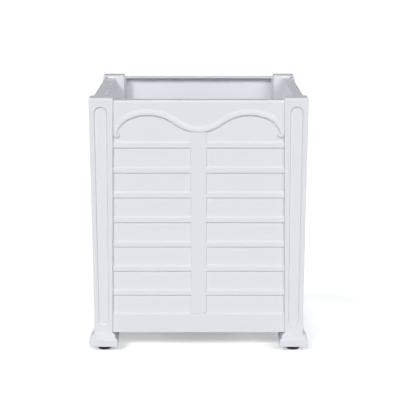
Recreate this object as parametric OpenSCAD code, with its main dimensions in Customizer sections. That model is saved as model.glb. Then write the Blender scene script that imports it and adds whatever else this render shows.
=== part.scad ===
// Square planter box on four tapered corner posts: grooved posts, framed panels with an ogee
// bead, plinth feet on levelling glides, and a drained floor tray that lifts out.

/* [Overall] */
// Width over the posts at their tops, the same both ways
body_w = 508; // [480:1:560]
// Height from the ground to the post tops
body_h = 609; // [560:1:660]

/* [Posts] */
// Post width at the top
post_top_w = 57.3; // [52:0.1:62]
// Lean of a post's outer faces, from top to foot
outer_lean = 5.6; // [3:0.1:7]
// Lean of a post's inner faces, from top to foot
inner_lean = 8.3; // [5:0.1:9]
// Wall of the post moulding
post_wall = 4.5; // [4:0.5:5]
// Chamfer round the top of a post
post_chamfer = 2.4; // [1:0.1:3]
// Flute width, as a share of the post's width
flute_share = 0.44; // [0.4:0.01:0.55]
// Depth of a flute
flute_depth = 2.4; // [1:0.1:2.5]
// Plain post above the flute
flute_top_gap = 22.5; // [16:0.5:30]
// Plain post below the flute
flute_foot_gap = 23; // [16:0.5:30]

/* [Panels] */
// Post tops above the panels' top edges
panel_drop = 6.3; // [5:0.1:10]
// Height of the panels' bottom edges above the ground
panel_bottom_z = 47; // [45:0.5:60]
// Depth of the panel trays, from the post faces to the rim's inner edge
rim_depth = 32; // [28:0.5:36]
// Wall of the rim
rim_wall = 4; // [3:0.5:5]
// Battens between the rows of fields
batten_count = 7; // [5:1:7]
// Distance from batten to batten
batten_pitch = 59.2; // [50:0.1:60]
// Height of a batten
batten_h = 14.6; // [12:0.1:18]
// Bottom of the first row of fields, below the post tops
first_row_drop = 102.6; // [98:0.1:106]
// Width of the centre stile
stile_w = 36.5; // [30:0.5:44]
// Bevel on the top edges of the battens and the bottom rail
batten_bevel = 3; // [1:0.1:3]

/* [Ogee bead] */
// Width of the bead
bead_w = 14.8; // [12:0.1:18]
// Crest of the bead's centre line, below the post tops
crest_drop = 33.8; // [31:0.1:38]
// Dip of the bead's centre line, below the post tops
dip_drop = 73.4; // [70:0.1:76]
// Distance of each crest from the middle of the panel
crest_x = 117.5; // [110:0.5:122]
// Radius of the crests
crest_r = 112; // [106:0.5:116]
// Radius of the shoulders that turn the bead down at the posts
shoulder_r = 45.4; // [42:0.1:48]
// Radius of the scroll at each end
scroll_r = 10.6; // [9:0.1:12]

/* [Feet] */
// Width of a plinth foot
foot_w = 66.5; // [64:0.5:70]
// Clear height under the feet
foot_clear = 13; // [11:0.5:16]
// Width of a glide pad
pad_w = 30; // [26:1:34]
// Height of a glide pad
pad_h = 7; // [6:0.5:8]
// Thread of the glide studs
stud_d = 8; // [6:1:10]

/* [Floor] */
// Height of the floor tray's rim
floor_h = 10; // [8:0.5:14]
// Drain holes along each side of the floor
drain_count = 3; // [2:1:4]
// Width of a drain hole
drain_d = 12; // [8:1:16]

/* [Hidden] */
$fn = 64;

// quarter turns from the rear right corner, and from the front
REAR_RIGHT = 0;
REAR_LEFT = 1;
FRONT_LEFT = 2;
FRONT_RIGHT = 3;
FRONT = 0;
RIGHT = 1;
REAR = 2;
LEFT = 3;

white = "white";
gap = 0.3; // clearance between parts that are fitted together
over = 1; // how far a cutter runs past the face that it cuts

// foot levels, from the underside up: plinth, bevel, step, bevel
plinth_z = foot_clear + 16.5;
step_z = plinth_z + 4.2;
step_top_z = step_z + 5.7;
post_z = step_top_z + 3.2; // where the post stands on the foot
step_half = foot_w / 2 - 5.3;
foot_wall = 5;
foot_roof = 1; // thinnest place over the hollow underside
spigot_h = 30; // how far the foot reaches up into the post

// posts
half_w = body_w / 2;
post_h = body_h - post_z;
post_in = half_w - post_top_w;
post_foot_w = post_top_w - outer_lean - inner_lean;
foot_axis = half_w - outer_lean - post_foot_w / 2;
lean = atan(outer_lean / post_h);
flute_steps = 24;
groove_wall = 3; // walls round the panel's groove, inside the post
groove_floor = 3.5;

// panels, in their own frame: depth is measured inward from the faces of the posts
panel_top_z = body_h - panel_drop;
bead_y = 3;
batten_y = 4;
apron_y = 4.5;
field_y = 7;
tongue_y = 7.6;
skin_y = 13.2; // back of the panel's skin
merge_y = skin_y - 1; // how deep the parts of the relief run into the skin
tongue_w = 8; // how far a panel reaches into the post's groove
groove_top_z = body_h - 3.2;
nose_h = 4.4; // bevel along the panels' top edges
nose_y = 2.1;
rail_top_drop = first_row_drop + batten_count * batten_pitch;

// ogee centre line, in drops below the post tops: arcs that meet tangent to tangent
rise = dip_drop - crest_drop;
dip_r = (crest_x * crest_x + rise * rise) / (2 * rise) - crest_r;
dip_c = [0, dip_drop - dip_r];
crest_c = [crest_x, crest_drop + crest_r];
dip_to_crest = (crest_c - dip_c) / (dip_r + crest_r);
dip_end = dip_c + dip_r * dip_to_crest;
shoulder_x = crest_x + 27.8;
scroll_out = 1.3; // how far the scroll swells past the bead's outer edge
shoulder_c = [shoulder_x, crest_c[1] - sqrt(pow(crest_r - shoulder_r, 2) - pow(shoulder_x - crest_x, 2))];
crest_to_shoulder = (shoulder_c - crest_c) / (crest_r - shoulder_r);
crest_end = crest_c + crest_r * crest_to_shoulder;
scroll_c = [shoulder_x + shoulder_r + bead_w / 2 + scroll_out - scroll_r, shoulder_c[1]];

// glides: a stud with a flat head in the pad, screwed into a flanged nut in the foot's boss
stud_r = stud_d / 2;
stud_top_z = foot_clear + 39;
stud_head_r = stud_r + 1;
stud_head_h = 2.4;
fit = 0.05; // clearance all round a part that is pressed or screwed into another
socket_z = 3; // the stud's head above the ground
nut_r = stud_r + 2;
nut_flange_r = nut_r + 2;
nut_bottom_z = foot_clear + 1.5;
nut_top_z = nut_bottom_z + 15;
boss_r = nut_flange_r + 3;
pad_collar_r = 8;

// floor and cleats
cleat_z0 = panel_bottom_z + rim_wall; // the cleats stand on the panels' bottom flanges
cleat_h = 17;
cleat_t = 3;
cleat_l = 330;
cleat_rib = 4;
cleat_y1 = rim_depth + 14; // how deep a cleat reaches inward
floor_z = cleat_z0 + cleat_h + cleat_y1 * sin(lean) + gap;
floor_half = half_w - rim_depth - outer_lean - 1;
notch = post_in - 1.5;
floor_skin = 3.5;
floor_rib = 3;

// screws
screw_r = 2;
shank_r = screw_r - 0.1;
pilot_r = screw_r - 0.05;
passing_r = screw_r + 0.4;
head_r = 4;
head_h = 2.4;
head_bevel = 1.2;
head_gap = 0.15; // between a screw's head and what it clamps
point_l = 2;
panel_screw_l = 12;
panel_screw_y = (skin_y + rim_depth) / 2;
panel_screw_drops = [140, 330, 515]; // below the post tops
cleat_screw_l = 6;
cleat_screw_z = cleat_z0 + cleat_h / 2;
cleat_screw_xs = [-cleat_l / 2 + 30, 0, cleat_l / 2 - 30];

// A profile of x and z, drawn through a piece that spans y0 to y1
module along_y(y0, y1) translate([0, y1, 0]) rotate([90, 0, 0]) linear_extrude(y1 - y0) children();

// A profile of y and z, drawn through a piece that spans x0 to x1
module along_x(x0, x1) translate([x0, 0, 0]) rotate([90, 0, 90]) linear_extrude(x1 - x0) children();

// A solid with the same profile from the front and from the side, about its own axis
module square_turned(reach) {
    intersection() {
        along_y(-reach, reach) children();
        along_x(-reach, reach) children();
    }
}

module at_corner(corner) rotate([0, 0, 90 * corner]) children();

module at_foot(corner) at_corner(corner) translate([foot_axis, foot_axis, 0]) children();

// The frame of a panel: x along it, y inward from the faces of the posts, z up. It leans with them.
module at_side(side) {
    rotate([0, 0, 90 * side]) translate([0, -half_w, body_h]) rotate([lean, 0, 0])
        translate([0, 0, -body_h]) children();
}

// A post's inner face, which is half the clear width between two posts, and its outer face, at height z
function clear_half(z) = post_in + inner_lean * (body_h - z) / post_h;
function post_outer(z) = half_w - outer_lean * (body_h - z) / post_h;

// A panel's outline between z0 and z1, with its ends moved out by extra
module outline(z0, z1, extra) {
    polygon([[-clear_half(z0) - extra, z0], [clear_half(z0) + extra, z0],
        [clear_half(z1) + extra, z1], [-clear_half(z1) - extra, z1]]);
}

// ---- posts ----

// A post's side view, inset all round, with a chamfer round its top
module post_profile(inset, z0, z1, chamfer) {
    shoulder = z1 - chamfer;
    foot = [[clear_half(z0) + inset, z0], [post_outer(z0) - inset, z0]];
    top = chamfer == 0 ? [[post_outer(z1) - inset, z1], [clear_half(z1) + inset, z1]]
        : [[post_outer(shoulder), shoulder], [post_outer(z1) - chamfer, z1],
            [clear_half(z1) + chamfer, z1], [clear_half(shoulder), shoulder]];
    polygon(concat(foot, top));
}

module post_solid(inset, z0, z1, chamfer = 0) {
    intersection() {
        along_y(0, body_w) post_profile(inset, z0, z1, chamfer);
        along_x(0, body_w) post_profile(inset, z0, z1, chamfer);
    }
}

// Points along an arc of radius r round [0, z], from angle a0 to a1
function arc(r, z, a0, a1) = [for (i = [0 : flute_steps]) let (a = a0 + (a1 - a0) * i / flute_steps)
    [r * cos(a), z + r * sin(a)]];

// The flute's outline on a face: two rounds joined by the straight lines that touch both
module flute_outline() {
    top_r = post_top_w * flute_share / 2;
    foot_r = post_foot_w * flute_share / 2;
    top_z = body_h - flute_top_gap - top_r;
    foot_z = post_z + flute_foot_gap + foot_r;
    turn = asin((top_r - foot_r) / (top_z - foot_z));
    polygon(concat(arc(top_r, top_z, -turn, 180 + turn), arc(foot_r, foot_z, 180 + turn, 360 - turn)));
}

// Flute cutter for the post at the right end of the front panel
module flute_cut() {
    middle = (foot_axis + post_in + post_top_w / 2) / 2;
    translate([middle, 0, 0]) along_y(-over, flute_depth) flute_outline();
}

// The room that a panel's edge takes in the posts, from depth y0 to y1 and from z0 to z1
module groove(y0, y1, extra, z0, z1) {
    along_y(y0, y1) outline(z0, z1, extra);
}

// Holes for the screws that hold a panel to the posts, from x0 to x1 at each end
module panel_screw_holes(r, x0, x1) {
    for (drop = panel_screw_drops, end = [0, 1]) mirror([end, 0, 0])
        translate([x0, panel_screw_y, body_h - drop]) rotate([0, 90, 0]) cylinder(r = r, h = x1 - x0);
}

module post(corner) {
    // the rear right post stands between the rear panel and the right panel
    color(white) at_corner(corner) difference() {
        union() {
            difference() {
                post_solid(0, post_z, body_h, post_chamfer);
                post_solid(post_wall, post_z - over, body_h - post_wall);
            }
            intersection() {
                post_solid(post_wall / 2, post_z, body_h - post_wall / 2);
                for (side = [RIGHT, REAR]) at_side(side) groove(tongue_y - groove_wall, skin_y + groove_wall,
                    tongue_w + groove_floor, post_z - over, body_h);
            }
        }
        for (side = [RIGHT, REAR]) at_side(side) {
            groove(tongue_y - gap, skin_y + gap, tongue_w + gap, post_z - over, groove_top_z);
            panel_screw_holes(pilot_r, post_in - over, clear_half(post_z) + post_wall + over);
        }
        at_side(RIGHT) flute_cut();
        at_side(REAR) mirror([1, 0, 0]) flute_cut();
    }
}

// ---- panels ----

// A slice of a ring, from its centre towards a middle direction, as wide as the reach allows
module ring_slice(c, r, w, slice) {
    intersection() {
        translate(c) difference() {
            circle(r + w / 2, $fn = 180);
            circle(r - w / 2, $fn = 180);
        }
        polygon(slice);
    }
}

// The point where a line from c through p has run k times that far
function beyond(c, p, k) = c + (p - c) * k;

// Half of the bead, in distances from the middle and drops below the post tops
module bead_half() {
    outside = shoulder_c[0] + 2 * shoulder_r;
    above = shoulder_c[1] - 2 * shoulder_r;
    ring_slice(dip_c, dip_r, bead_w, [dip_c, [0, dip_c[1] + 2 * dip_r], beyond(dip_c, dip_end, 2)]);
    ring_slice(crest_c, crest_r, bead_w, [crest_c, beyond(crest_c, dip_end, 1.5),
        [crest_x, crest_drop - crest_r], beyond(crest_c, crest_end, 1.5)]);
    ring_slice(shoulder_c, shoulder_r, bead_w, [shoulder_c, beyond(shoulder_c, crest_end, 2),
        [outside, above], [outside, shoulder_c[1]]]);
    translate(scroll_c) circle(scroll_r);
}

module bead_outline() {
    for (side = [0, 1]) mirror([side, 0]) translate([0, body_h]) mirror([0, 1]) bead_half();
}

// Everything above the bead's centre line
module apron_outline() {
    translate([0, body_h]) mirror([0, 1]) {
        difference() {
            translate([-half_w, panel_drop]) square([body_w, dip_end[1] - panel_drop]);
            for (side = [-1, 1]) translate([side * crest_x, crest_c[1]]) circle(crest_r, $fn = 180);
        }
        intersection() {
            translate(dip_c) circle(dip_r, $fn = 180);
            translate([-dip_r, panel_drop]) square([2 * dip_r, dip_drop]);
        }
        for (side = [0, 1]) mirror([side, 0]) difference() {
            translate([crest_end[0], panel_drop]) square([half_w - crest_end[0], shoulder_c[1] - panel_drop]);
            translate(shoulder_c) circle(shoulder_r, $fn = 180);
        }
    }
}

// Battens, bottom rail and stile: their upper edges are bevelled down to the fields
module framing() {
    for (row = [0 : batten_count]) {
        top = body_h - first_row_drop - row * batten_pitch;
        bottom = row < batten_count ? top - batten_h : panel_bottom_z;
        along_x(-half_w, half_w) polygon([[batten_y, bottom], [merge_y, bottom], [merge_y, top],
            [field_y, top], [batten_y, top - batten_bevel]]);
    }
    along_y(batten_y, merge_y) translate([-stile_w / 2, body_h - rail_top_drop - over])
        square([stile_w, rail_top_drop - dip_drop + over]);
}

// The tray's rim, seen from the front: flanges all round
module rim_outline() {
    difference() {
        outline(panel_bottom_z, panel_top_z, -gap);
        outline(panel_bottom_z + rim_wall, panel_top_z - rim_wall, -gap - rim_wall);
    }
}

module panel(side) {
    color(white) at_side(side) difference() {
        union() {
            along_y(field_y, skin_y) outline(panel_bottom_z, panel_top_z, -gap);
            along_y(tongue_y, skin_y) outline(panel_bottom_z, panel_top_z, tongue_w);
            intersection() {
                along_y(0, skin_y) outline(panel_bottom_z, panel_top_z, -gap);
                union() {
                    framing();
                    along_y(apron_y, merge_y) apron_outline();
                    along_y(bead_y, merge_y) bead_outline();
                }
            }
            along_y(merge_y, rim_depth) rim_outline();
        }
        // bevel along the top edge
        along_x(-half_w, half_w) polygon([[0, panel_top_z - nose_h], [apron_y, panel_top_z - nose_h],
            [apron_y + nose_y, panel_top_z + over], [0, panel_top_z + over]]);
        panel_screw_holes(passing_r, post_in - 3 * rim_wall, clear_half(post_z) + over);
        cleat_screw_holes(pilot_r, skin_y - 4, skin_y + over);
    }
}

// ---- cleats ----

module cleat_screw_holes(r, y0, y1) {
    for (x = cleat_screw_xs)
        translate([x, y0, cleat_screw_z]) rotate([-90, 0, 0]) cylinder(r = r, h = y1 - y0);
}

// An angle that stands on the panel's bottom flange and is screwed to its back
module cleat(side) {
    top = cleat_z0 + cleat_h;
    rib_pitch = (cleat_l - cleat_rib) / 3;
    color(white) at_side(side) difference() {
        union() {
            along_x(-cleat_l / 2, cleat_l / 2) polygon([[skin_y, cleat_z0], [skin_y + cleat_t, cleat_z0],
                [skin_y + cleat_t, top - cleat_t], [cleat_y1, top - cleat_t], [cleat_y1, top],
                [skin_y, top]]);
            for (x = [-1.5 : 1.5]) along_x(x * rib_pitch - cleat_rib / 2, x * rib_pitch + cleat_rib / 2)
                polygon([[skin_y + 1, cleat_z0 + 2], [skin_y + 1, top - 1], [cleat_y1 - 2, top - 1],
                    [skin_y + cleat_h, cleat_z0 + 2]]);
        }
        cleat_screw_holes(passing_r, skin_y - over, cleat_y1);
    }
}

// ---- feet and glides ----

module foot(corner) {
    color(white) difference() {
        union() {
            at_foot(corner) square_turned(foot_w) for (side = [0, 1]) mirror([side, 0])
                polygon([[0, foot_clear], [foot_w / 2, foot_clear], [foot_w / 2, plinth_z],
                    [step_half, step_z], [step_half, step_top_z], [post_foot_w / 2, post_z], [0, post_z]]);
            // spigot that plugs the post, clear of the walls round its grooves
            difference() {
                at_foot(corner) translate([0, 0, post_z - over]) linear_extrude(spigot_h + over)
                    square(post_foot_w - 2 * post_wall - 2 * gap, center = true);
                at_corner(corner) for (side = [RIGHT, REAR]) at_side(side)
                    groove(tongue_y - groove_wall - gap, skin_y + groove_wall + gap,
                        tongue_w + groove_floor + gap, post_z - gap, body_h);
            }
        }
        at_foot(corner) {
            // hollow underside round the boss
            difference() {
                translate([0, 0, foot_clear - over]) linear_extrude(plinth_z - foot_roof - foot_clear + over)
                    square(foot_w - 2 * foot_wall, center = true);
                translate([0, 0, foot_clear - over]) cylinder(r = boss_r, h = body_h);
            }
            translate([0, 0, foot_clear - over]) {
                cylinder(r = nut_r, h = nut_top_z - foot_clear + over);
                cylinder(r = nut_flange_r, h = nut_bottom_z - foot_clear + over);
            }
            translate([0, 0, foot_clear]) cylinder(r = stud_r + 1, h = post_z + spigot_h);
        }
    }
}

module glide_nut(corner) {
    color("gold") at_foot(corner) difference() {
        union() {
            translate([0, 0, nut_bottom_z]) cylinder(r = nut_r, h = nut_top_z - nut_bottom_z);
            translate([0, 0, foot_clear]) cylinder(r = nut_flange_r, h = nut_bottom_z - foot_clear);
        }
        cylinder(r = stud_r + fit, h = nut_top_z + over);
    }
}

module glide_stud(corner) {
    neck_z = socket_z + stud_head_h;
    color("silver") at_foot(corner) rotate_extrude() polygon([[0, socket_z], [stud_head_r, socket_z],
        [stud_head_r, neck_z], [stud_r, neck_z], [stud_r, stud_top_z - 1], [stud_r - 1, stud_top_z],
        [0, stud_top_z]]);
}

module glide_pad(corner) {
    r = pad_w / 2;
    neck_z = socket_z + stud_head_h + fit;
    color([0.05, 0.05, 0.06]) at_foot(corner) rotate_extrude($fn = 96) polygon([[0, 0], [r - 1, 0], [r, 1],
        [r, pad_h - 2.5], [r - 1, pad_h - 1.2], [pad_collar_r, pad_h], [stud_r + fit, pad_h],
        [stud_r + fit, neck_z], [stud_head_r + fit, neck_z], [stud_head_r + fit, socket_z - fit],
        [0, socket_z - fit]]);
}

// ---- floor ----

// A square that the four posts bite into
module notched_square(half, bite) {
    difference() {
        square(2 * half, center = true);
        for (corner = [0 : 3]) rotate(90 * corner) translate([bite, bite]) square(half);
    }
}

module floor_tray() {
    drain_pitch = 2 * notch / (drain_count + 1);
    first_drain = drain_pitch * (drain_count - 1) / 2;
    color(white) difference() {
        union() {
            translate([0, 0, floor_z + floor_h - floor_skin]) linear_extrude(floor_skin)
                notched_square(floor_half, notch);
            translate([0, 0, floor_z]) linear_extrude(floor_h - 1) {
                difference() {
                    notched_square(floor_half, notch);
                    notched_square(floor_half - floor_rib, notch - floor_rib);
                }
                for (turn = [0, 90], rib = [0 : drain_count]) rotate(turn)
                    translate([(rib + 0.5) * drain_pitch - notch, 0])
                    square([floor_rib, 2 * floor_half - floor_rib], center = true);
            }
        }
        for (x = [0 : drain_count - 1], y = [0 : drain_count - 1])
            translate([x * drain_pitch - first_drain, y * drain_pitch - first_drain, floor_z])
                cylinder(d = drain_d, h = floor_h + over);
    }
}

// ---- screws ----

// A pan-head screw along +z, with its head's underside at z = 0
module pan_screw(l) {
    rotate_extrude($fn = 32) polygon([[0, -head_h], [head_r - head_bevel, -head_h],
        [head_r, head_bevel - head_h], [head_r, 0], [shank_r, 0], [shank_r, l - point_l], [0, l]]);
}

module panel_screws() {
    color("silver") for (side = [FRONT : LEFT]) at_side(side) for (drop = panel_screw_drops, end = [0, 1]) {
        z = body_h - drop;
        mirror([end, 0, 0]) translate([clear_half(z) - gap - rim_wall - head_gap, panel_screw_y, z])
            rotate([0, 90, 0]) pan_screw(panel_screw_l);
    }
}

module cleat_screws() {
    color("silver") for (side = [FRONT : LEFT]) at_side(side) for (x = cleat_screw_xs)
        translate([x, skin_y + cleat_t + head_gap, cleat_screw_z]) rotate([90, 0, 0])
            pan_screw(cleat_screw_l);
}

post(FRONT_LEFT);  // post_front_left
post(FRONT_RIGHT);  // post_front_right
post(REAR_LEFT);  // post_rear_left
post(REAR_RIGHT);  // post_rear_right
panel(FRONT);  // panel_front
panel(RIGHT);  // panel_right
panel(REAR);  // panel_rear
panel(LEFT);  // panel_left
foot(FRONT_LEFT);  // foot_front_left
foot(FRONT_RIGHT);  // foot_front_right
foot(REAR_LEFT);  // foot_rear_left
foot(REAR_RIGHT);  // foot_rear_right
glide_nut(FRONT_LEFT);  // glide_nut_front_left
glide_nut(FRONT_RIGHT);  // glide_nut_front_right
glide_nut(REAR_LEFT);  // glide_nut_rear_left
glide_nut(REAR_RIGHT);  // glide_nut_rear_right
glide_stud(FRONT_LEFT);  // glide_stud_front_left
glide_stud(FRONT_RIGHT);  // glide_stud_front_right
glide_stud(REAR_LEFT);  // glide_stud_rear_left
glide_stud(REAR_RIGHT);  // glide_stud_rear_right
glide_pad(FRONT_LEFT);  // glide_pad_front_left
glide_pad(FRONT_RIGHT);  // glide_pad_front_right
glide_pad(REAR_LEFT);  // glide_pad_rear_left
glide_pad(REAR_RIGHT);  // glide_pad_rear_right
cleat(FRONT);  // cleat_front
cleat(RIGHT);  // cleat_right
cleat(REAR);  // cleat_rear
cleat(LEFT);  // cleat_left
floor_tray();
panel_screws();
cleat_screws();
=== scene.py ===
import math
import bmesh
import bpy
from mathutils import Matrix, Vector


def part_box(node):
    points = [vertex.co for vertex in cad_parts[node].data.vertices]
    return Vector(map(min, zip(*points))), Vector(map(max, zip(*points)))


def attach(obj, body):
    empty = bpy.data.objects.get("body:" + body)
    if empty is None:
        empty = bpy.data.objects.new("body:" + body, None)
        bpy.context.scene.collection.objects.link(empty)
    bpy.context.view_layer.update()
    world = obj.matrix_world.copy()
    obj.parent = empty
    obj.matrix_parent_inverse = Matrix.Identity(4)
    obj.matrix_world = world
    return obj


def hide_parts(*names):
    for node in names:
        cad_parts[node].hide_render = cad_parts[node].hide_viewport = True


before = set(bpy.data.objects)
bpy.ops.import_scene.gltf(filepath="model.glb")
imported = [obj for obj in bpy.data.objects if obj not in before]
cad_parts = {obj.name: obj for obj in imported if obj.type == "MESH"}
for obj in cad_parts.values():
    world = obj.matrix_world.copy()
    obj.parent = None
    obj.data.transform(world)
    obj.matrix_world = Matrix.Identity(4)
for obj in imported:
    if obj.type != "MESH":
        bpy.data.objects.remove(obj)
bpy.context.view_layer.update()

# ---- Camera ----
# It stands where the photograph was taken: square in front of the planter, a little above it and
# looking down on it, with a long lens.
lens_mm = 115.74
sensor_mm = 36
camera_spot = (0.0032, -3.185, 0.995)
camera_tilt = math.radians(77.96)
camera = bpy.data.objects.new("camera", bpy.data.cameras.new("camera"))
camera.data.lens = lens_mm
camera.data.sensor_width = sensor_mm
camera.location = camera_spot
camera.rotation_euler = (camera_tilt, 0, 0)
bpy.context.scene.collection.objects.link(camera)
bpy.context.scene.camera = camera
bpy.context.scene.view_settings.view_transform = "Standard"


# ---- Studio ----
# A dim bluish room, a pale sweep of floor that looks white and glows away from the planter, and wide
# soft lamps: three in front, and others beside and behind that keep the other sides readable.
def pick(sockets, name):
    """A node's socket by its place or its name."""
    if isinstance(name, int):
        return sockets[name]
    return next(s for s in sockets if s.enabled and name in (s.name, s.identifier))


class Wire:
    """An output socket of a node tree. Arithmetic on wires adds Math nodes."""

    def __init__(self, tree, socket=None):
        self.tree = tree
        self.socket = socket

    def add(self, kind, settings=None, values=None, output=0):
        """Adds a node: its settings first, then a value, a wire or a list of wires for each socket."""
        node = self.tree.nodes.new(kind)
        for name, value in (settings or {}).items():
            setattr(node, name, value)
        for name, value in (values or {}).items():
            socket = pick(node.inputs, name)
            for part in value if isinstance(value, list) else [value]:
                if isinstance(part, Wire):
                    self.tree.links.new(part.socket, socket)
                else:
                    socket.default_value = part
        return Wire(self.tree, pick(node.outputs, output) if node.outputs else None)

    def also(self, output):
        """Another output of the same node."""
        return Wire(self.tree, pick(self.socket.node.outputs, output))

    def math(self, operation, a, b=0.0):
        return self.add("ShaderNodeMath", {"operation": operation}, {0: a, 1: b})

    def __add__(self, other):
        return self.math("ADD", self, other)

    def __radd__(self, other):
        return self.math("ADD", other, self)

    def __sub__(self, other):
        return self.math("SUBTRACT", self, other)

    def __rsub__(self, other):
        return self.math("SUBTRACT", other, self)

    def __mul__(self, other):
        return self.math("MULTIPLY", self, other)

    def __rmul__(self, other):
        return self.math("MULTIPLY", other, self)


def plain_tree(owner):
    """The owner's node tree, emptied, as a wire to add nodes to."""
    owner.use_nodes = True
    owner.node_tree.nodes.clear()
    return Wire(owner.node_tree)


room_light = (0.03, 0.034, 0.046, 1)
room = bpy.data.worlds.new("studio")
bpy.context.scene.world = room
start = plain_tree(room)
start.add("ShaderNodeOutputWorld", values={
    "Surface": start.add("ShaderNodeBackground", values={"Color": room_light, "Strength": 1.0})})


def soft_lamp(name, azimuth, height, strength, width, shines=True):
    """A wide sun lamp. Its azimuth from the front, its height and its width are in degrees."""
    lamp = bpy.data.lights.new(name, "SUN")
    lamp.energy = strength
    lamp.angle = math.radians(width)
    turn, rise = math.radians(azimuth), math.radians(height)
    level = math.cos(rise)
    towards = Vector((math.sin(turn) * level, -math.cos(turn) * level, math.sin(rise)))
    holder = bpy.data.objects.new(name, lamp)
    holder.rotation_mode = "QUATERNION"
    holder.rotation_quaternion = towards.to_track_quat("Z", "Y")
    holder.visible_glossy = shines
    bpy.context.scene.collection.objects.link(holder)


soft_lamp("left_window", -28, 33, 1.54, 14)
soft_lamp("right_window", 28, 30, 1.22, 30)
soft_lamp("low_window", 0, 12, 0.5, 40)
soft_lamp("left_wall", -100, 13, 1.1, 14, shines=False)
soft_lamp("right_wall", 100, 13, 1.1, 14, shines=False)
soft_lamp("rear_wall", 180, 8, 2.3, 30, shines=False)

floor_reach = 40
floor_paint = (0.3, 0.3, 0.3, 1)
floor_seen = (1.24, 1.24, 1.24, 1)
# Painted light: the floor's glow is dim near the planter and brighter away from it. It lights over the
# lamps' shadows further out on the floor and keeps the shade close to the planter.
near_glow = (0.27, 0.27, 0.27, 1)
far_glow = (0.55, 0.55, 0.55, 1)
glow_reach = (0.4, 0.85)
floor_material = bpy.data.materials.new("studio_floor")
start = plain_tree(floor_material)
ray = start.add("ShaderNodeLightPath", output="Is Camera Ray")
mirrored_ray = ray.math("MAXIMUM", ray.also("Is Glossy Ray"), ray.also("Is Transmission Ray"))
seen = ray.math("MAXIMUM", ray, mirrored_ray)
lit = start.add("ShaderNodeBsdfDiffuse", values={"Color": floor_paint})
bright = start.add("ShaderNodeBsdfDiffuse", values={"Color": floor_seen})
spot = start.add("ShaderNodeTexCoord", output="Object")
away = start.add("ShaderNodeVectorMath", {"operation": "LENGTH"}, {0: spot}, "Value")
far = start.add("ShaderNodeMapRange", {"interpolation_type": "SMOOTHSTEP"}, {
    "Value": away, "From Min": glow_reach[0], "From Max": glow_reach[1]}, "Result")
shade = start.add("ShaderNodeMix", {"data_type": "RGBA"}, {
    "Factor": far, "A": near_glow, "B": far_glow}, "Result")
glow = start.add("ShaderNodeEmission", values={"Color": shade})
shown = start.add("ShaderNodeAddShader", values={0: bright, 1: glow})
start.add("ShaderNodeOutputMaterial", values={
    "Surface": start.add("ShaderNodeMixShader", values={0: seen, 1: lit, 2: shown})})
floor_mesh = bpy.data.meshes.new("studio_floor")
floor_corners = [(x * floor_reach, y * floor_reach, 0) for x, y in ((-1, -1), (1, -1), (1, 1), (-1, 1))]
floor_mesh.from_pydata(floor_corners, [], [(0, 1, 2, 3)])
floor_mesh.materials.append(floor_material)
studio_floor = bpy.data.objects.new("studio_floor", floor_mesh)
bpy.context.scene.collection.objects.link(studio_floor)

# ---- Corner posts ----
# Four hollow posts moulded in white, semi-gloss resin, wider at the top than at the foot. Each outer
# face has a flute with sloped walls and round ends, a little deeper at its top. They plug onto the
# feet.
corners = {"rear_right": 0, "rear_left": 1, "front_left": 2, "front_right": 3}
half_w = 0.254
body_h = 0.609
post_top_w = 0.0573
outer_lean = 0.0056
inner_lean = 0.0083
post_z = 0.0426
post_top_round = 0.005
post_corner_round = 0.0018
corner_growth = 0.6
corner_steps = 4
top_steps = 6
skin_below = 0.001
post_crease = 32
post_in = half_w - post_top_w
post_h = body_h - post_z
post_foot_w = post_top_w - outer_lean - inner_lean
lean = math.atan(outer_lean / post_h)
same_spot = 0.00001
flat_turn = math.radians(0.4)


def clear_half(z):
    """Half the clear width between two posts at height z."""
    return post_in + inner_lean * (body_h - z) / post_h


def side_frame(side):
    """Along a side, depth from the posts' faces and height, turned into the planter's own axes."""
    return (Matrix.Rotation(math.radians(90 * side), 4, "Z") @ Matrix.Translation((0, -half_w, body_h))
            @ Matrix.Rotation(lean, 4, "X") @ Matrix.Translation((0, 0, -body_h)))


def cad_copy(node):
    """A copy of a CAD node's mesh with its triangles joined into flat faces."""
    shape = bmesh.new()
    shape.from_mesh(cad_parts[node].data)
    bmesh.ops.remove_doubles(shape, verts=shape.verts, dist=same_spot)
    bmesh.ops.dissolve_limit(shape, angle_limit=flat_turn, verts=shape.verts, edges=shape.edges)
    return shape


def soften(shape, rule, width, steps=2):
    """Rounds the edges that the rule picks."""
    edges = [e for e in shape.edges if len(e.link_faces) == 2 and rule(e)]
    bmesh.ops.bevel(shape, geom=edges, offset=width, offset_type="OFFSET", segments=steps, profile=0.5,
                    affect="EDGES", clamp_overlap=False, loop_slide=True)


def mesh_of(shape, name):
    mesh = bpy.data.meshes.new(name)
    shape.to_mesh(mesh)
    shape.free()
    return mesh


def carve(mesh, cutters):
    """The mesh with each cutter taken out of it, or cut down to it."""
    body = bpy.data.objects.new("cutting", mesh)
    bpy.context.scene.collection.objects.link(body)
    tools = []
    for operation, cutter in cutters:
        tool = bpy.data.objects.new("cutter", cutter)
        bpy.context.scene.collection.objects.link(tool)
        step = body.modifiers.new("cut", "BOOLEAN")
        step.operation = operation
        step.solver = "EXACT"
        step.object = tool
        tools.append(tool)
    view = bpy.context.evaluated_depsgraph_get()
    result = bpy.data.meshes.new_from_object(body.evaluated_get(view))
    for used in [body, *tools]:
        bpy.data.objects.remove(used)
    return result


def creased(mesh, angle):
    """Smooth but for the edges that turn by more than an angle in degrees."""
    mesh.polygons.foreach_set("use_smooth", [True] * len(mesh.polygons))
    mesh.set_sharp_from_angle(angle=math.radians(angle))
    return mesh


def turned_copy(mesh, quarters):
    """A copy of a mesh, turned about the planter's middle by quarter turns."""
    mesh = mesh.copy()
    mesh.transform(Matrix.Rotation(math.radians(90 * quarters), 4, "Z"))
    return mesh


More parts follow.
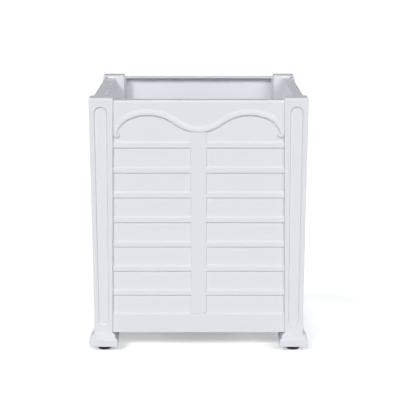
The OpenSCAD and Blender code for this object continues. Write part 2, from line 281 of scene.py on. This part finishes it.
def place(mesh, name, material, body, node):
    """Makes the finished piece of a mesh and puts it on its body."""
    mesh.materials.clear()
    mesh.materials.append(material)
    piece = bpy.data.objects.new(name, mesh)
    bpy.context.scene.collection.objects.link(piece)
    flat = piece.modifiers.new("flat_faces", "WEIGHTED_NORMAL")
    flat.keep_sharp = True
    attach(piece, body)
    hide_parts(node)


resin_low = (0.776, 0.797, 0.832)
resin_high = (0.784, 0.803, 0.838)


def resin(name, shade=1.0, gloss=0.31):
    """White moulded resin: an even colour, a soft sheen and the faint ripple of the mould."""
    material = bpy.data.materials.new(name)
    start = plain_tree(material)
    spot = start.add("ShaderNodeTexCoord", output="Object")
    cloud = start.add("ShaderNodeTexNoise", values={"Vector": spot, "Scale": 7.0, "Detail": 3.0})
    ripple = start.add("ShaderNodeTexNoise", values={"Vector": spot, "Scale": 60.0, "Detail": 2.0})
    grain = start.add("ShaderNodeTexNoise", values={"Vector": spot, "Scale": 900.0, "Detail": 2.0})
    color = start.add("ShaderNodeMix", {"data_type": "RGBA"}, {
        "Factor": cloud, "A": (*(shade * c for c in resin_low), 1),
        "B": (*(shade * c for c in resin_high), 1)}, "Result")
    bump = start.add("ShaderNodeBump", values={
        "Strength": 0.12, "Distance": 0.0004, "Height": ripple + grain * 0.18})
    surface = start.add("ShaderNodeBsdfPrincipled", values={
        "Base Color": color, "Roughness": gloss - 0.03 + 0.06 * cloud, "IOR": 1.5, "Normal": bump})
    start.add("ShaderNodeOutputMaterial", values={"Surface": surface})
    return material


def lofted(shape, rings):
    """A closed skin over rings of points, one above the other."""
    rings = [[shape.verts.new(p) for p in ring] for ring in rings]
    for one, two in zip(rings, rings[1:]):
        for i in range(len(one)):
            j = (i + 1) % len(one)
            shape.faces.new((one[i], one[j], two[j], two[i]))
    shape.faces.new(rings[0])
    shape.faces.new(rings[-1])
    bmesh.ops.recalc_face_normals(shape, faces=shape.faces)


flute_share = 0.44
flute_depth = 0.0024
flute_top_gap = 0.0225
flute_foot_gap = 0.023
flute_wall = 0.0028
flute_clear = 0.0002
flute_past_solid = 0.00005
flute_top_deeper = 0.0014
top_wall_steeper = 0.3
cutter_front = -0.4
flute_steps = 24
flute_rings = 9


def flute_outline(spread, share):
    """The flute's outline at a share of its depth, spread outwards. It is deepest at the top."""
    top_r = post_top_w * flute_share / 2
    foot_r = post_foot_w * flute_share / 2
    top_z = body_h - flute_top_gap - top_r
    foot_z = post_z + flute_foot_gap + foot_r
    tilt = math.asin((top_r - foot_r) / (top_z - foot_z))
    middle = (half_w - outer_lean - post_foot_w / 2 + post_in + post_top_w / 2) / 2
    points = []
    left = math.pi + tilt
    for r, z, start, end in ((top_r, top_z, -tilt, left), (foot_r, foot_z, left, 2 * math.pi - tilt)):
        for i in range(flute_steps + 1):
            a = start + (end - start) * i / flute_steps
            out = r + spread * (1 - top_wall_steeper * max(math.sin(a), 0))
            up = z + out * math.sin(a)
            depth = flute_depth + flute_past_solid + flute_top_deeper * (up - foot_z) / (top_z - foot_z)
            points.append((middle + out * math.cos(a), depth * share, up))
    return points


def flute_cutter(side, mirrored):
    """The room of a flute: rings of its outline from in front of the face down to its floor."""
    rings = [flute_outline(flute_clear + flute_wall, cutter_front)]
    for i in range(flute_rings):
        t = i / (flute_rings - 1)
        rings.append(flute_outline(flute_clear + flute_wall * (1 - t), t * t * (3 - 2 * t)))
    if mirrored:
        rings = [[(-x, y, z) for x, y, z in ring] for ring in rings]
    shape = bmesh.new()
    lofted(shape, rings)
    bmesh.ops.transform(shape, matrix=side_frame(side), verts=shape.verts)
    return mesh_of(shape, "flute_cutter")


def post_ring(z, inset):
    """A square with round corners: the rear right post's sides at a height, drawn in all round."""
    low = clear_half(z) + inset + same_spot
    high = half_w - outer_lean * (body_h - z) / post_h - inset - same_spot
    r = post_corner_round + corner_growth * inset
    near = low + r
    far = high - r
    ring = []
    for turn, (x, y) in enumerate(((far, far), (near, far), (near, near), (far, near))):
        for i in range(corner_steps + 1):
            a = math.pi / 2 * (turn + i / corner_steps)
            ring.append((x + r * math.cos(a), y + r * math.sin(a), z))
    return ring


post_resin = resin("post_resin")
skin_rings = [post_ring(post_z - skin_below, 0)]
for i in range(top_steps + 1):
    a = math.pi / 2 * i / top_steps
    ring_z = body_h - same_spot - post_top_round * (1 - math.sin(a))
    skin_rings.append(post_ring(ring_z, post_top_round * (1 - math.cos(a))))
skin = bmesh.new()
lofted(skin, skin_rings)
post_mesh = carve(mesh_of(cad_copy("post_rear_right"), "post"), [
    ("INTERSECT", mesh_of(skin, "post_skin")), ("DIFFERENCE", flute_cutter(1, False)),
    ("DIFFERENCE", flute_cutter(2, True))])
for corner, quarters in corners.items():
    mesh = creased(turned_copy(post_mesh, quarters), post_crease)
    place(mesh, "fluted_post_" + corner, post_resin, "root", "post_" + corner)

# ---- Panels ----
# Four panels, each one moulding of the same white resin: an apron over a raised ogee bead with
# scroll ends, seven battens and a stile over sunk fields, and a tray rim behind. Their ends sit in
# grooves in the posts.
sides = {"front": 0, "right": 1, "rear": 2, "left": 3}
panel_bottom_z = 0.047
rim_depth = 0.032
field_y = 0.007
bead_y = 0.003
panel_gap = 0.0003
bead_w = 0.0148
crest_drop = 0.0338
dip_drop = 0.0734
crest_x = 0.1175
crest_r = 0.112
shoulder_r = 0.0454
shoulder_out = 0.0278
shoulder_x = crest_x + shoulder_out
dip_steps = 16
crest_steps = 36
shoulder_steps = 24
scroll_r = 0.0106
scroll_out = 0.0013
# across the bead from its upper side, and depth: a long slope, a narrow crown and a steep drop
bead_section = (
    (-0.0077, 0.0073), (-0.0077, 0.0047), (-0.0066, 0.0043), (-0.004, 0.0036), (-0.0012, 0.0029),
    (0.0008, 0.0026), (0.0034, 0.0025), (0.0056, 0.0026), (0.0068, 0.0031), (0.0075, 0.0041),
    (0.0077, 0.0053), (0.0077, 0.0073))
bead_half = bead_section[-1][0]
taper_turn = math.radians(60)
curl_r = 0.0086
curl_drop = 0.0009
curl_turn = math.radians(218)
curl_shrink = 0.14
curl_tip = 0.24
curl_bluntness = 8
curl_overlap = 0.0002
curl_steps = 40
relief_angle = math.radians(15)
relief_round = 0.0008
rim_angle = math.radians(20)
rim_round = 0.001
lower_lip = 0.0022
lip_height = 1.2 * relief_round
seam = 0.00006
slack = 0.0001
bead_near = 0.001
flat_crease = 3
bead_crease = 40

rise = dip_drop - crest_drop
dip_r = (crest_x * crest_x + rise * rise) / (2 * rise) - crest_r
dip_c = Vector((0, dip_drop - dip_r))
crest_c = Vector((crest_x, crest_drop + crest_r))
dip_end = dip_c + (crest_c - dip_c) * dip_r / (dip_r + crest_r)
shoulder_rise = math.sqrt((crest_r - shoulder_r) ** 2 - (shoulder_x - crest_x) ** 2)
shoulder_c = Vector((shoulder_x, crest_c.y - shoulder_rise))
crest_end = crest_c + (shoulder_c - crest_c) * crest_r / (crest_r - shoulder_r)
scroll_c = Vector((shoulder_x + shoulder_r + bead_w / 2 + scroll_out - scroll_r, shoulder_c.y))


def swing(center, r, start, end, count):
    """Points of an arc from one angle to another, in distances from the middle and drops."""
    return [center + r * Vector((math.cos(a), math.sin(a))) for a in
            (start + (end - start) * i / count for i in range(count + 1))]


def bearing(center, point):
    return math.atan2(point.y - center.y, point.x - center.x)


crest_turn = (bearing(crest_c, dip_end), bearing(crest_c, crest_end))
half_ogee = (swing(dip_c, dip_r, math.pi / 2, bearing(dip_c, dip_end), dip_steps)[:-1]
             + swing(crest_c, crest_r, *crest_turn, crest_steps)[:-1]
             + swing(shoulder_c, shoulder_r, bearing(shoulder_c, crest_end), 0, shoulder_steps))
ogee = [Vector((-p.x, p.y)) for p in reversed(half_ogee[1:])] + half_ogee


def grown(name, sizes, build, mesh=None):
    """Runs a Geometry Nodes tree on a mesh and returns what it makes as a plain mesh."""
    kinds = {float: "NodeSocketFloat", int: "NodeSocketInt", bpy.types.Object: "NodeSocketObject",
             bpy.types.Material: "NodeSocketMaterial"}
    tree = bpy.data.node_groups.new(name, "GeometryNodeTree")
    tree.interface.new_socket("Geometry", in_out="OUTPUT", socket_type="NodeSocketGeometry")
    tree.interface.new_socket("Geometry", in_out="INPUT", socket_type="NodeSocketGeometry")
    keys = {}
    for label, value in sizes.items():
        socket = tree.interface.new_socket(label, in_out="INPUT", socket_type=kinds[type(value)])
        keys[label] = socket.identifier
    entry = Wire(tree).add("NodeGroupInput")
    result = build(entry, {label: entry.also(label) for label in sizes})
    whole = entry.add("GeometryNodeRealizeInstances", values={"Geometry": result})
    painted = entry.add("GeometryNodeSetMaterial", values={
        "Geometry": whole, "Material": entry.also("Material")})
    entry.add("NodeGroupOutput", values={"Geometry": painted})
    carrier = bpy.data.objects.new(name, mesh or bpy.data.meshes.new(name))
    bpy.context.scene.collection.objects.link(carrier)
    growth = carrier.modifiers.new(name, "NODES")
    growth.node_group = tree
    for label, value in sizes.items():
        growth[keys[label]] = value
    view = bpy.context.evaluated_depsgraph_get()
    result = bpy.data.meshes.new_from_object(carrier.evaluated_get(view))
    carrier.modifiers.clear()
    bpy.data.objects.remove(carrier)
    return result


def bead_tree(entry, size):
    """The bead's section, which an object holds, run along the ogee."""
    line = entry.add("GeometryNodeMeshToCurve", values={"Mesh": entry.also("Geometry")})
    line = entry.add("GeometryNodeSetCurveNormal", {"mode": "FREE"}, {
        "Curve": line, "Normal": (0, -1, 0)})
    section = entry.add("GeometryNodeObjectInfo", values={"Object": size["Section"]}, output="Geometry")
    section = entry.add("GeometryNodeMeshToCurve", values={"Mesh": section})
    return entry.add("GeometryNodeCurveToMesh", values={
        "Curve": line, "Profile Curve": section, "Fill Caps": True})


line_points = [(p.x, 0, body_h - p.y) for p in ogee]
line_mesh = bpy.data.meshes.new("ogee")
line_mesh.from_pydata(line_points, [(i, i + 1) for i in range(len(ogee) - 1)], [])
section_points = [(-depth, across, 0) for across, depth in bead_section]
section_links = [(i, (i + 1) % len(bead_section)) for i in range(len(bead_section))]
section_mesh = bpy.data.meshes.new("bead_section")
section_mesh.from_pydata(section_points, section_links, [])
section = bpy.data.objects.new("bead_section", section_mesh)
panel_resin = resin("panel_resin")
bead_mesh = grown("bead", {"Section": section, "Material": panel_resin}, bead_tree, line_mesh)
bpy.data.objects.remove(section)

curl_share = curl_r / (2 * bead_half)
curl_c = Vector((shoulder_c.x + shoulder_r + bead_half - curl_r, shoulder_c.y))
for v in bead_mesh.vertices:
    flat = Vector((abs(v.co.x), body_h - v.co.z)) - shoulder_c
    t = max(math.atan2(-flat.y, flat.x), 0) / taper_turn
    if flat.x > 0 and t < 1:
        outer = shoulder_r + bead_half
        share = curl_share + (1 - curl_share) * t * (2 - t)
        flat = shoulder_c + flat * (outer - (outer - flat.length) * share) / flat.length
        v.co.x = math.copysign(flat.x, v.co.x)
        v.co.z = body_h - flat.y


def curl_ring(t, drop, way):
    """The bead's section a share of the way round the scroll, narrower and closer to its middle."""
    a = curl_turn * t
    share = (curl_share + (curl_tip - curl_share) * t) * math.sqrt(1 - t ** curl_bluntness)
    ring = []
    for across, depth in bead_section:
        r = max(curl_r * (1 - curl_shrink * t) - (across + bead_half) * share, 0)
        x = curl_c.x + r * math.cos(a)
        ring.append((way * x, depth, body_h - curl_c.y - drop - r * math.sin(a)))
    return ring


def bead_distance(p):
    """How far a point on a panel is from the bead's centre line or a scroll, less their widths."""
    flat = Vector((abs(p.x), body_h - p.z))
    near = min((flat - q).length for q in half_ogee) - bead_w / 2
    return min(near, (flat - scroll_c).length - scroll_r)


to_panel = side_frame(0).inverted()
shape = cad_copy("panel_front")
bmesh.ops.transform(shape, matrix=to_panel, verts=shape.verts)
for v in shape.verts:
    if v.co.y < bead_y + 2 * slack:
        v.co.y = field_y


def in_relief(e):
    """An edge of the relief on the face, away from the bead and from the panel's ends."""
    if e.calc_face_angle(0) < relief_angle:
        return False
    if not all(v.co.y < field_y + slack for v in e.verts):
        return False
    if all(abs(v.co.x) > clear_half(v.co.z) - panel_gap - slack for v in e.verts):
        return False
    if all(v.co.z < panel_bottom_z + slack for v in e.verts):
        return True
    return all(bead_distance(v.co) > bead_near for v in e.verts)


def on_rim(e):
    """An edge at the back of the rim, towards the planting space."""
    return all(abs(v.co.y - rim_depth) < same_spot for v in e.verts) and e.calc_face_angle(0) > rim_angle


soften(shape, in_relief, relief_round)
soften(shape, on_rim, rim_round)
flat_mesh = creased(mesh_of(shape, "panel"), flat_crease)
shape = bmesh.new()
shape.from_mesh(flat_mesh)
shape.from_mesh(creased(bead_mesh, bead_crease))
for way in (-1, 1):
    curl_rings = [curl_ring(0, -curl_overlap, way)]
    curl_rings += [curl_ring(i / curl_steps, curl_drop, way) for i in range(curl_steps + 1)]
    scroll = bmesh.new()
    lofted(scroll, curl_rings)
    bmesh.ops.remove_doubles(scroll, verts=scroll.verts, dist=same_spot / 10)
    bmesh.ops.recalc_face_normals(scroll, faces=scroll.faces)
    shape.from_mesh(creased(mesh_of(scroll, "scroll"), bead_crease))
for v in shape.verts:
    if v.co.z < panel_bottom_z + lip_height:
        v.co.z -= lower_lip
    reach = clear_half(v.co.z) - panel_gap
    if v.co.y < field_y + 3 * slack and abs(v.co.x) > reach and bead_distance(v.co) < bead_near:
        v.co.x = math.copysign(reach, v.co.x)
    if abs(v.co.x) > reach - slack / 2:
        v.co.x += math.copysign(panel_gap - seam, v.co.x)
bmesh.ops.transform(shape, matrix=side_frame(0), verts=shape.verts)
panel_mesh = mesh_of(shape, "panel")
for side, quarters in sides.items():
    mesh = turned_copy(panel_mesh, quarters)
    place(mesh, "battened_panel_" + side, panel_resin, "root", "panel_" + side)

# ---- Feet ----
# Four stepped plinth feet in the same resin, hollow underneath, each plugged into its post with a
# spigot and drilled for a threaded insert.
foot_clear = 0.013
foot_round = 0.0007
foot_axis = half_w - outer_lean - post_foot_w / 2
hollow_half = 0.0275
step_angle = math.radians(12)
step_crease = 10


def on_plinth(e):
    """An edge of the steps, outside the hollow and below the post."""
    return e.calc_face_angle(0) > step_angle and all(
        foot_clear - same_spot < v.co.z < post_z - slack
        and max(abs(v.co.x - foot_axis), abs(v.co.y - foot_axis)) > hollow_half for v in e.verts)


shape = cad_copy("foot_rear_right")
soften(shape, on_plinth, foot_round)
foot_mesh = creased(mesh_of(shape, "foot"), step_crease)
foot_resin = resin("foot_resin")
for corner, quarters in corners.items():
    mesh = turned_copy(foot_mesh, quarters)
    place(mesh, "plinth_foot_" + corner, foot_resin, "root", "foot_" + corner)

# ---- Threaded inserts ----
# A flanged brass nut pressed into each foot from below. Its sides are knurled, so that it stays in
# the resin, and its bore takes the glide's stud.
stud_r = 0.004
thread_fit = 0.00005
nut_r = 0.006
nut_flange_r = 0.008
nut_low_z = foot_clear
nut_flange_z = foot_clear + 0.0015
nut_top_z = foot_clear + 0.0165
flange_round = 0.0003
bore_chamfer = 0.0005
nut_chamfer = 0.0004
knurl_share = 0.96
knurl_teeth = 36
knurl_crease = 20
brass_color = (0.72, 0.52, 0.25)
brass_tarnish = (0.55, 0.38, 0.17)


def eased(bends, steps=4):
    """A profile with rounded corners, from triples of radius, height and rounding."""
    points = []
    for i, (r, z, ease) in enumerate(bends):
        here = Vector((r, z))
        if ease == 0:
            points.append(here)
            continue
        back = (Vector(bends[i - 1][:2]) - here).normalized()
        on = (Vector(bends[i + 1][:2]) - here).normalized()
        reach = ease / math.tan(back.angle(on) / 2)
        for k in range(steps + 1):
            t = k / steps
            points.append(here + back * reach * (1 - t) ** 2 + on * reach * t * t)
    return points


def turned(profile, steps):
    """A turned shape about the z axis, from pairs of radius and height."""
    shape = bmesh.new()
    angles = [math.tau * i / steps for i in range(steps)]
    rings = []
    for r, z in profile:
        if r == 0:
            rings.append([shape.verts.new((0, 0, z))])
        else:
            rings.append([shape.verts.new((r * math.cos(a), r * math.sin(a), z)) for a in angles])
    for one, two in zip(rings, rings[1:]):
        for i in range(steps):
            j = (i + 1) % steps
            spots = [one[i % len(one)], one[j % len(one)], two[j % len(two)], two[i % len(two)]]
            shape.faces.new(list(dict.fromkeys(spots)))
    bmesh.ops.recalc_face_normals(shape, faces=shape.faces)
    return shape


def metal(name, color, tarnish, gloss):
    """Bare or plated metal: a slightly clouded colour, a duller film in patches and fine scratches."""
    material = bpy.data.materials.new(name)
    start = plain_tree(material)
    spot = start.add("ShaderNodeTexCoord", output="Object")
    cloud = start.add("ShaderNodeTexNoise", values={"Vector": spot, "Scale": 180.0, "Detail": 4.0})
    scratch = start.add("ShaderNodeTexNoise", values={"Vector": spot, "Scale": 2500.0, "Detail": 2.0})
    tint = start.add("ShaderNodeMix", {"data_type": "RGBA"}, {
        "Factor": cloud, "A": (*color, 1), "B": (*tarnish, 1)}, "Result")
    bump = start.add("ShaderNodeBump", values={"Strength": 0.15, "Distance": 0.0001, "Height": scratch})
    surface = start.add("ShaderNodeBsdfPrincipled", values={
        "Base Color": tint, "Metallic": 1.0, "Roughness": gloss + 0.2 * cloud, "Normal": bump})
    start.add("ShaderNodeOutputMaterial", values={"Surface": surface})
    return material


bore_r = stud_r + thread_fit
nut_profile = eased([
    (bore_r, nut_low_z + bore_chamfer, 0), (bore_r + bore_chamfer, nut_low_z, 0),
    (nut_flange_r, nut_low_z, flange_round), (nut_flange_r, nut_flange_z, flange_round),
    (nut_r, nut_flange_z, 0), (nut_r, nut_top_z - nut_chamfer, 0), (nut_r - nut_chamfer, nut_top_z, 0),
    (bore_r, nut_top_z, 0)])
shape = turned([*nut_profile, nut_profile[0]], 2 * knurl_teeth)
bmesh.ops.remove_doubles(shape, verts=shape.verts, dist=same_spot / 10)
for v in shape.verts:
    tooth = round(math.atan2(v.co.y, v.co.x) / math.tau * 2 * knurl_teeth) % 2
    if tooth and v.co.z > nut_flange_z - same_spot and v.co.xy.length > bore_r + bore_chamfer:
        v.co.xy *= knurl_share
bmesh.ops.recalc_face_normals(shape, faces=shape.faces)
bmesh.ops.translate(shape, vec=(foot_axis, foot_axis, 0), verts=shape.verts)
nut_mesh = creased(mesh_of(shape, "nut"), knurl_crease)
brass = metal("knurled_brass", brass_color, brass_tarnish, 0.26)
for corner, quarters in corners.items():
    mesh = turned_copy(nut_mesh, quarters)
    place(mesh, "threaded_insert_" + corner, brass, "root", "glide_nut_" + corner)

# ---- Glide studs ----
# Zinc-plated M8 studs with a flat head moulded into the pad. Turned in the insert, they level the
# planter.
socket_z = 0.003
stud_head_h = 0.0024
stud_head_r = stud_r + 0.001
stud_head_round = 0.0003
stud_top_z = foot_clear + 0.039
stud_tip = 0.001
stud_pitch = 0.00125
stud_core_r = 0.0034
stud_sides = 24
thread_root = 0.0001
thread_lead = 0.001
thread_end = 0.0015
turned_crease = 32
zinc_color = (0.62, 0.635, 0.66)
zinc_film = (0.5, 0.505, 0.51)


def thread_tree(entry, size):
    """A V-shaped thread wound round a core that stands on the z axis."""
    turn_count = size["Length"].math("DIVIDE", size["Length"], size["Pitch"])
    radius = size["Outer radius"] - size["Depth"]
    line = entry.add("GeometryNodeCurveSpiral", values={
        "Resolution": size["Steps"], "Rotations": turn_count, "Start Radius": radius,
        "End Radius": radius, "Height": size["Length"]})
    line = entry.add("GeometryNodeSetCurveNormal", {"mode": "Z_UP"}, {"Curve": line})
    half_pitch = size["Pitch"] * 0.5
    ridge = entry.add("GeometryNodeCurvePrimitiveQuadrilateral", {"mode": "KITE"}, {
        "Width": size["Depth"] * 2.0, "Bottom Height": half_pitch, "Top Height": half_pitch})
    thread = entry.add("GeometryNodeCurveToMesh", values={
        "Curve": line, "Profile Curve": ridge, "Fill Caps": True})
    start = entry.add("ShaderNodeCombineXYZ", values={"Z": size["Start"]})
    thread = entry.add("GeometryNodeTransform", values={"Geometry": thread, "Translation": start})
    return entry.add("GeometryNodeJoinGeometry", values={"Geometry": [entry.also("Geometry"), thread]})


stud_neck_z = socket_z + stud_head_h
shape = turned(eased([
    (0, socket_z, 0), (stud_head_r, socket_z, stud_head_round),
    (stud_head_r, stud_neck_z, stud_head_round), (stud_core_r, stud_neck_z, 0),
    (stud_core_r, stud_top_z - stud_tip, 0),
    (stud_core_r - stud_tip, stud_top_z, 0), (0, stud_top_z, 0)]), stud_sides)
zinc = metal("zinc_plate", zinc_color, zinc_film, 0.3)
thread_start = stud_neck_z + thread_lead
stud_mesh = grown("stud", {
    "Outer radius": stud_r, "Depth": stud_r - stud_core_r + thread_root, "Pitch": stud_pitch,
    "Steps": stud_sides, "Start": thread_start, "Length": stud_top_z - thread_start - thread_end,
    "Material": zinc}, thread_tree, mesh_of(shape, "stud_core"))
creased(stud_mesh, turned_crease)
stud_mesh.transform(Matrix.Translation((foot_axis, foot_axis, 0)))
for corner, quarters in corners.items():
    mesh = turned_copy(stud_mesh, quarters)
    place(mesh, "levelling_stud_" + corner, zinc, "stud_" + corner, "glide_stud_" + corner)

# ---- Glide pads ----
# Round black nylon pads that the planter stands on, each moulded round its stud's head so that it
# can swivel.
pad_r = 0.015
pad_h = 0.007
pad_collar_r = 0.008
pad_step = 0.0012
pad_rounds = (0.0011, 0.0008, 0.001, 0.0006, 0.0003)
pad_hole_r = stud_head_r + thread_fit
pad_hole_z = socket_z - thread_fit
pad_neck_z = stud_neck_z + thread_fit
pad_sides = 96
scuff_top = 0.0026
scuff_low = 0.0002
nylon_black = (0.012, 0.012, 0.013, 1)
nylon_scuffed = (0.09, 0.088, 0.085, 1)


def nylon(name):
    """Black moulded nylon with a fine spark-eroded grain, scuffed grey towards the floor."""
    material = bpy.data.materials.new(name)
    start = plain_tree(material)
    spot = start.add("ShaderNodeTexCoord", output="Object")
    grain = start.add("ShaderNodeTexNoise", values={"Vector": spot, "Scale": 1800.0, "Detail": 3.0})
    patch = start.add("ShaderNodeTexNoise", values={"Vector": spot, "Scale": 220.0, "Detail": 4.0})
    height = start.add("ShaderNodeSeparateXYZ", values={"Vector": spot}, output="Z")
    low = start.add("ShaderNodeMapRange", values={
        "Value": height, "From Min": scuff_top, "From Max": scuff_low, "To Min": 0.0, "To Max": 1.0},
        output="Result")
    worn = start.add("ShaderNodeMapRange", values={
        "Value": patch, "From Min": 0.45, "From Max": 0.7, "To Min": 0.0, "To Max": 0.55},
        output="Result")
    scuff = low * worn
    tint = start.add("ShaderNodeMix", {"data_type": "RGBA"}, {
        "Factor": scuff, "A": nylon_black, "B": nylon_scuffed}, "Result")
    bump = start.add("ShaderNodeBump", values={"Strength": 0.3, "Distance": 0.0001, "Height": grain})
    surface = start.add("ShaderNodeBsdfPrincipled", values={
        "Base Color": tint, "Roughness": 0.4 + 0.15 * patch + 0.2 * scuff, "Normal": bump})
    start.add("ShaderNodeOutputMaterial", values={"Surface": surface})
    return material


shape = turned(eased([
    (0, 0, 0), (pad_r, 0, pad_rounds[0]), (pad_r, pad_h - 2 * pad_step, pad_rounds[1]),
    (pad_r - pad_step, pad_h - pad_step, pad_rounds[2]),
    (pad_collar_r + pad_step, pad_h - pad_step / 2, pad_rounds[3]), (pad_collar_r, pad_h, pad_rounds[4]),
    (bore_r, pad_h, 0), (bore_r, pad_neck_z, 0), (pad_hole_r, pad_neck_z, 0), (pad_hole_r, pad_hole_z, 0),
    (0, pad_hole_z, 0)]), pad_sides)
bmesh.ops.translate(shape, vec=(foot_axis, foot_axis, 0), verts=shape.verts)
pad_mesh = creased(mesh_of(shape, "pad"), turned_crease)
glide_nylon = nylon("glide_nylon")
for corner, quarters in corners.items():
    mesh = turned_copy(pad_mesh, quarters)
    place(mesh, "swivel_pad_" + corner, glide_nylon, "glide_" + corner,
          "glide_pad_" + corner)

# ---- Cleats ----
# A resin angle with four gussets on the inside of each panel. It stands on the panel's bottom
# flange, is screwed through it, and carries the floor.
cleat_round = 0.0005
shortest_edge = 0.002
square_angle = math.radians(40)
inner_crease = 10


def on_cleat(e):
    """An edge where two faces of a cleat meet, apart from the short ones round its holes."""
    return e.calc_face_angle(0) > square_angle and e.calc_length() > shortest_edge


shape = cad_copy("cleat_front")
soften(shape, on_cleat, cleat_round)
cleat_mesh = creased(mesh_of(shape, "cleat"), inner_crease)
inner_resin = resin("inner_resin", 0.99, 0.34)
for side, quarters in sides.items():
    mesh = turned_copy(cleat_mesh, quarters)
    place(mesh, "angle_cleat_" + side, inner_resin, "root", "cleat_" + side)

# ---- Floor ----
# A lift-out resin tray, notched round the posts, with ribs underneath and nine drain holes. It lies
# loose on the cleats.
tray_round = 0.0008
tray_steps = 3
tray_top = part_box("floor_tray")[1][2]


def on_tray_top(e):
    """An edge of the tray's upper side, the holes' edges among them."""
    level = all(abs(v.co.z - tray_top) < same_spot for v in e.verts)
    return level and e.calc_face_angle(0) > square_angle


shape = cad_copy("floor_tray")
soften(shape, on_tray_top, tray_round, tray_steps)
tray_mesh = creased(mesh_of(shape, "tray"), inner_crease)
place(tray_mesh, "drained_floor", inner_resin, "floor", "floor_tray")

# ---- Screws ----
# Zinc-plated pan-head screws with a cross recess: six hold each panel's end flanges to its posts,
# and three hold each cleat to its panel.
screw_r = 0.0019
screw_core_r = 0.0014
screw_pitch = 0.0012
screw_point = 0.002
screw_lead = 0.0008
screw_steps = 16
head_r = 0.004
head_h = 0.0024
head_crown = 0.0006
crown_round = 0.0012
head_edge = 0.0003
edge_round = 0.0002
head_sides = 32
head_gap = 0.00015
recess_l = 0.0042
recess_w = 0.0009
recess_h = 0.0013
recess_taper = 0.7
rim_wall = 0.004
skin_back_y = 0.0132
cleat_t = 0.003
panel_screw_l = 0.012
panel_screw_drops = (0.14, 0.33, 0.515)
cleat_screw_l = 0.006
cleat_screw_z = 0.0595
cleat_screw_xs = (-0.135, 0, 0.135)


def screw(length):
    """A pan-head screw that points up, with the underside of its head at z = 0."""
    core = turned(eased([
        (0, -head_h, 0), (head_r - head_crown, -head_h, crown_round), (head_r, -head_edge, edge_round),
        (head_r, 0, 0), (screw_core_r, 0, 0), (screw_core_r, length - screw_point, 0),
        (0, length, 0)]), head_sides)
    cutters = []
    for across, along in ((recess_w, recess_l), (recess_l, recess_w)):
        bar = bmesh.new()
        bmesh.ops.create_cube(bar, size=1)
        for v in bar.verts:
            x, y, z = v.co
            narrow = recess_taper if z > 0 else 1.0
            v.co = (x * across * narrow, y * along * narrow, z * 2 * recess_h - head_h)
        cutters.append(("DIFFERENCE", mesh_of(bar, "recess")))
    return grown("screw", {
        "Outer radius": screw_r, "Depth": screw_r - screw_core_r + thread_root, "Pitch": screw_pitch,
        "Steps": screw_steps, "Start": screw_lead, "Length": length - screw_point - screw_lead,
        "Material": zinc}, thread_tree, carve(mesh_of(core, "screw_core"), cutters))


def screws_tree(entry, size):
    """A screw on each point, along the point's axis and turned about it at random."""
    axis = entry.add("GeometryNodeInputNamedAttribute", {"data_type": "FLOAT_VECTOR"}, {"Name": "axis"})
    aim = entry.add("FunctionNodeAlignRotationToVector", {"axis": "Z"}, {"Vector": axis})
    angle = entry.add("FunctionNodeRandomValue", {"data_type": "FLOAT"}, {
        "Min": 0.0, "Max": math.tau, "Seed": size["Seed"]}, "Value")
    twist = entry.add("FunctionNodeAxisAngleToRotation", values={"Angle": angle})
    turn = entry.add("FunctionNodeRotateRotation", {"rotation_space": "LOCAL"}, {
        "Rotation": aim, "Rotate By": twist})
    one = entry.add("GeometryNodeObjectInfo", values={"Object": size["Screw"]}, output="Geometry")
    return entry.add("GeometryNodeInstanceOnPoints", values={
        "Points": entry.also("Geometry"), "Instance": one, "Rotation": turn})


def screw_group(name, length, spots, node, seed):
    """Screws on all four sides, from places and directions in a side's own frame."""
    points = []
    axes = []
    for side in range(4):
        move = side_frame(side)
        points += [move @ Vector(spot) for spot, axis in spots]
        axes += [move.to_3x3() @ Vector(axis) for spot, axis in spots]
    mesh = bpy.data.meshes.new(name)
    mesh.from_pydata(points, [], [])
    aims = mesh.attributes.new("axis", "FLOAT_VECTOR", "POINT")
    aims.data.foreach_set("vector", [c for axis in axes for c in axis])
    one = bpy.data.objects.new("one_screw", screw(length))
    result = grown(name, {"Screw": one, "Seed": seed, "Material": zinc}, screws_tree, mesh)
    bpy.data.objects.remove(one)
    place(creased(result, turned_crease), name, zinc, "root", node)


panel_spots = []
for drop in panel_screw_drops:
    z = body_h - drop
    for way in (-1, 1):
        x = way * (clear_half(z) - panel_gap - rim_wall - head_gap)
        panel_spots.append(((x, (skin_back_y + rim_depth) / 2, z), (way, 0, 0)))
cleat_face_y = skin_back_y + cleat_t + head_gap
cleat_spots = [((x, cleat_face_y, cleat_screw_z), (0, -1, 0)) for x in cleat_screw_xs]
screw_group("flange_screws", panel_screw_l, panel_spots, "panel_screws", 3)
screw_group("angle_screws", cleat_screw_l, cleat_spots, "cleat_screws", 5)
